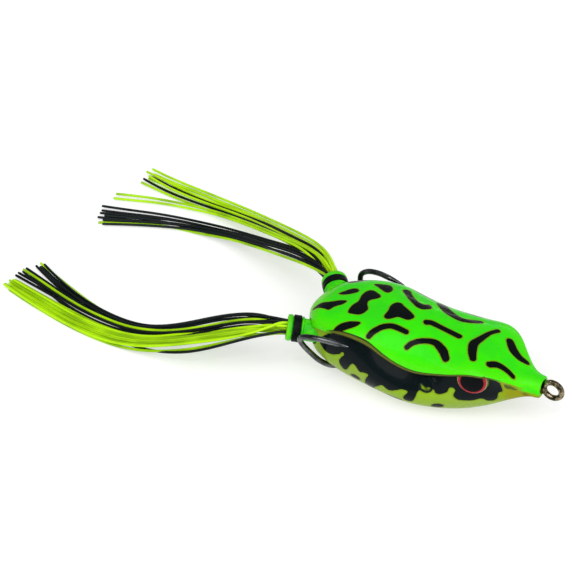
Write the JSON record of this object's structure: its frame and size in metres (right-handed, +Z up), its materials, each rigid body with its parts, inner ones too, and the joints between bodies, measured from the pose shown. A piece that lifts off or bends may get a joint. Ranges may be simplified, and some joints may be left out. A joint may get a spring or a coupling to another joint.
{
  "type": "hollow-body topwater frog lure",
  "caption": "Soft hollow frog-shaped surface lure with an upturned double hook, keel weight, domed eyes and two long strand legs.",
  "frame": {"origin": "centre of the keel weight's flat underside, on the floor the lure lies on, moved along the lure to the middle of the moulded body's length", "axes": "+X towards the nose and the line eye, +Y towards the frog's left side, +Z up"},
  "size_m": [0.1652, 0.0815, 0.0217],
  "materials": {
    "green_vinyl": "glossy soft vinyl, sprayed lime green over yellow-green, with black markings",
    "black_nickel": "polished black nickel",
    "lead_grey": "dull grey cast metal",
    "chartreuse_silicone": "satin silicone",
    "black_silicone": "satin silicone",
    "black_rubber": "satin rubber ring",
    "eye_red": "red foil ring round a black pupil",
    "eye_clear": "clear domed resin"
  },
  "bodies": {
    "hook_and_weight": {"double_hook": "black_nickel", "keel_weight": "lead_grey"},
    "shell": {"body_shell": "green_vinyl", "strand_bridge": "chartreuse_silicone", "right_eye_disc": "eye_red", "right_eye_lens": "eye_clear", "left_eye_disc": "eye_red", "left_eye_lens": "eye_clear"},
    "right_leg": {"right_leg_sleeve": "green_vinyl", "right_leg_band": "black_rubber"},
    "right_strands": {"right_strand_lock_1": "chartreuse_silicone", "right_strand_lock_2": "chartreuse_silicone", "right_strand_lock_3": "chartreuse_silicone", "right_strand_lock_4": "black_silicone", "right_strand_lock_5": "black_silicone"},
    "left_leg": {"left_leg_sleeve": "green_vinyl", "left_leg_band": "black_rubber"},
    "left_strands": {"left_strand_lock_1": "chartreuse_silicone", "left_strand_lock_2": "chartreuse_silicone", "left_strand_lock_3": "chartreuse_silicone", "left_strand_lock_4": "black_silicone", "left_strand_lock_5": "black_silicone"}
  },
  "joints": [
    {"name": "shell_lift", "type": "hinge", "parent": "hook_and_weight", "child": "shell", "pos_m": [0.031, 0, 0.0112], "axis": [0, 1, 0], "range_deg": [0, 5]},
    {"name": "right_leg_swing", "type": "hinge", "parent": "shell", "child": "right_leg", "pos_m": [-0.02798, -0.00802, 0.01192], "axis": [0, 0, 1], "range_deg": [-6, 8], "stiffness_Nm_per_rad": 0.002},
    {"name": "right_strand_lift", "type": "hinge", "parent": "right_leg", "child": "right_strands", "pos_m": [-0.03331, -0.01078, 0.01302], "axis": [-0.4594, 0.8882, 0], "range_deg": [0, 25]},
    {"name": "left_leg_swing", "type": "hinge", "parent": "shell", "child": "left_leg", "pos_m": [-0.029, 0.00664, 0.01229], "axis": [0, 0, -1], "range_deg": [-6, 8], "stiffness_Nm_per_rad": 0.002},
    {"name": "left_strand_lift", "type": "hinge", "parent": "left_leg", "child": "left_strands", "pos_m": [-0.03298, 0.01123, 0.0129], "axis": [0.7557, 0.6549, 0], "range_deg": [0, 25]}
  ]
}
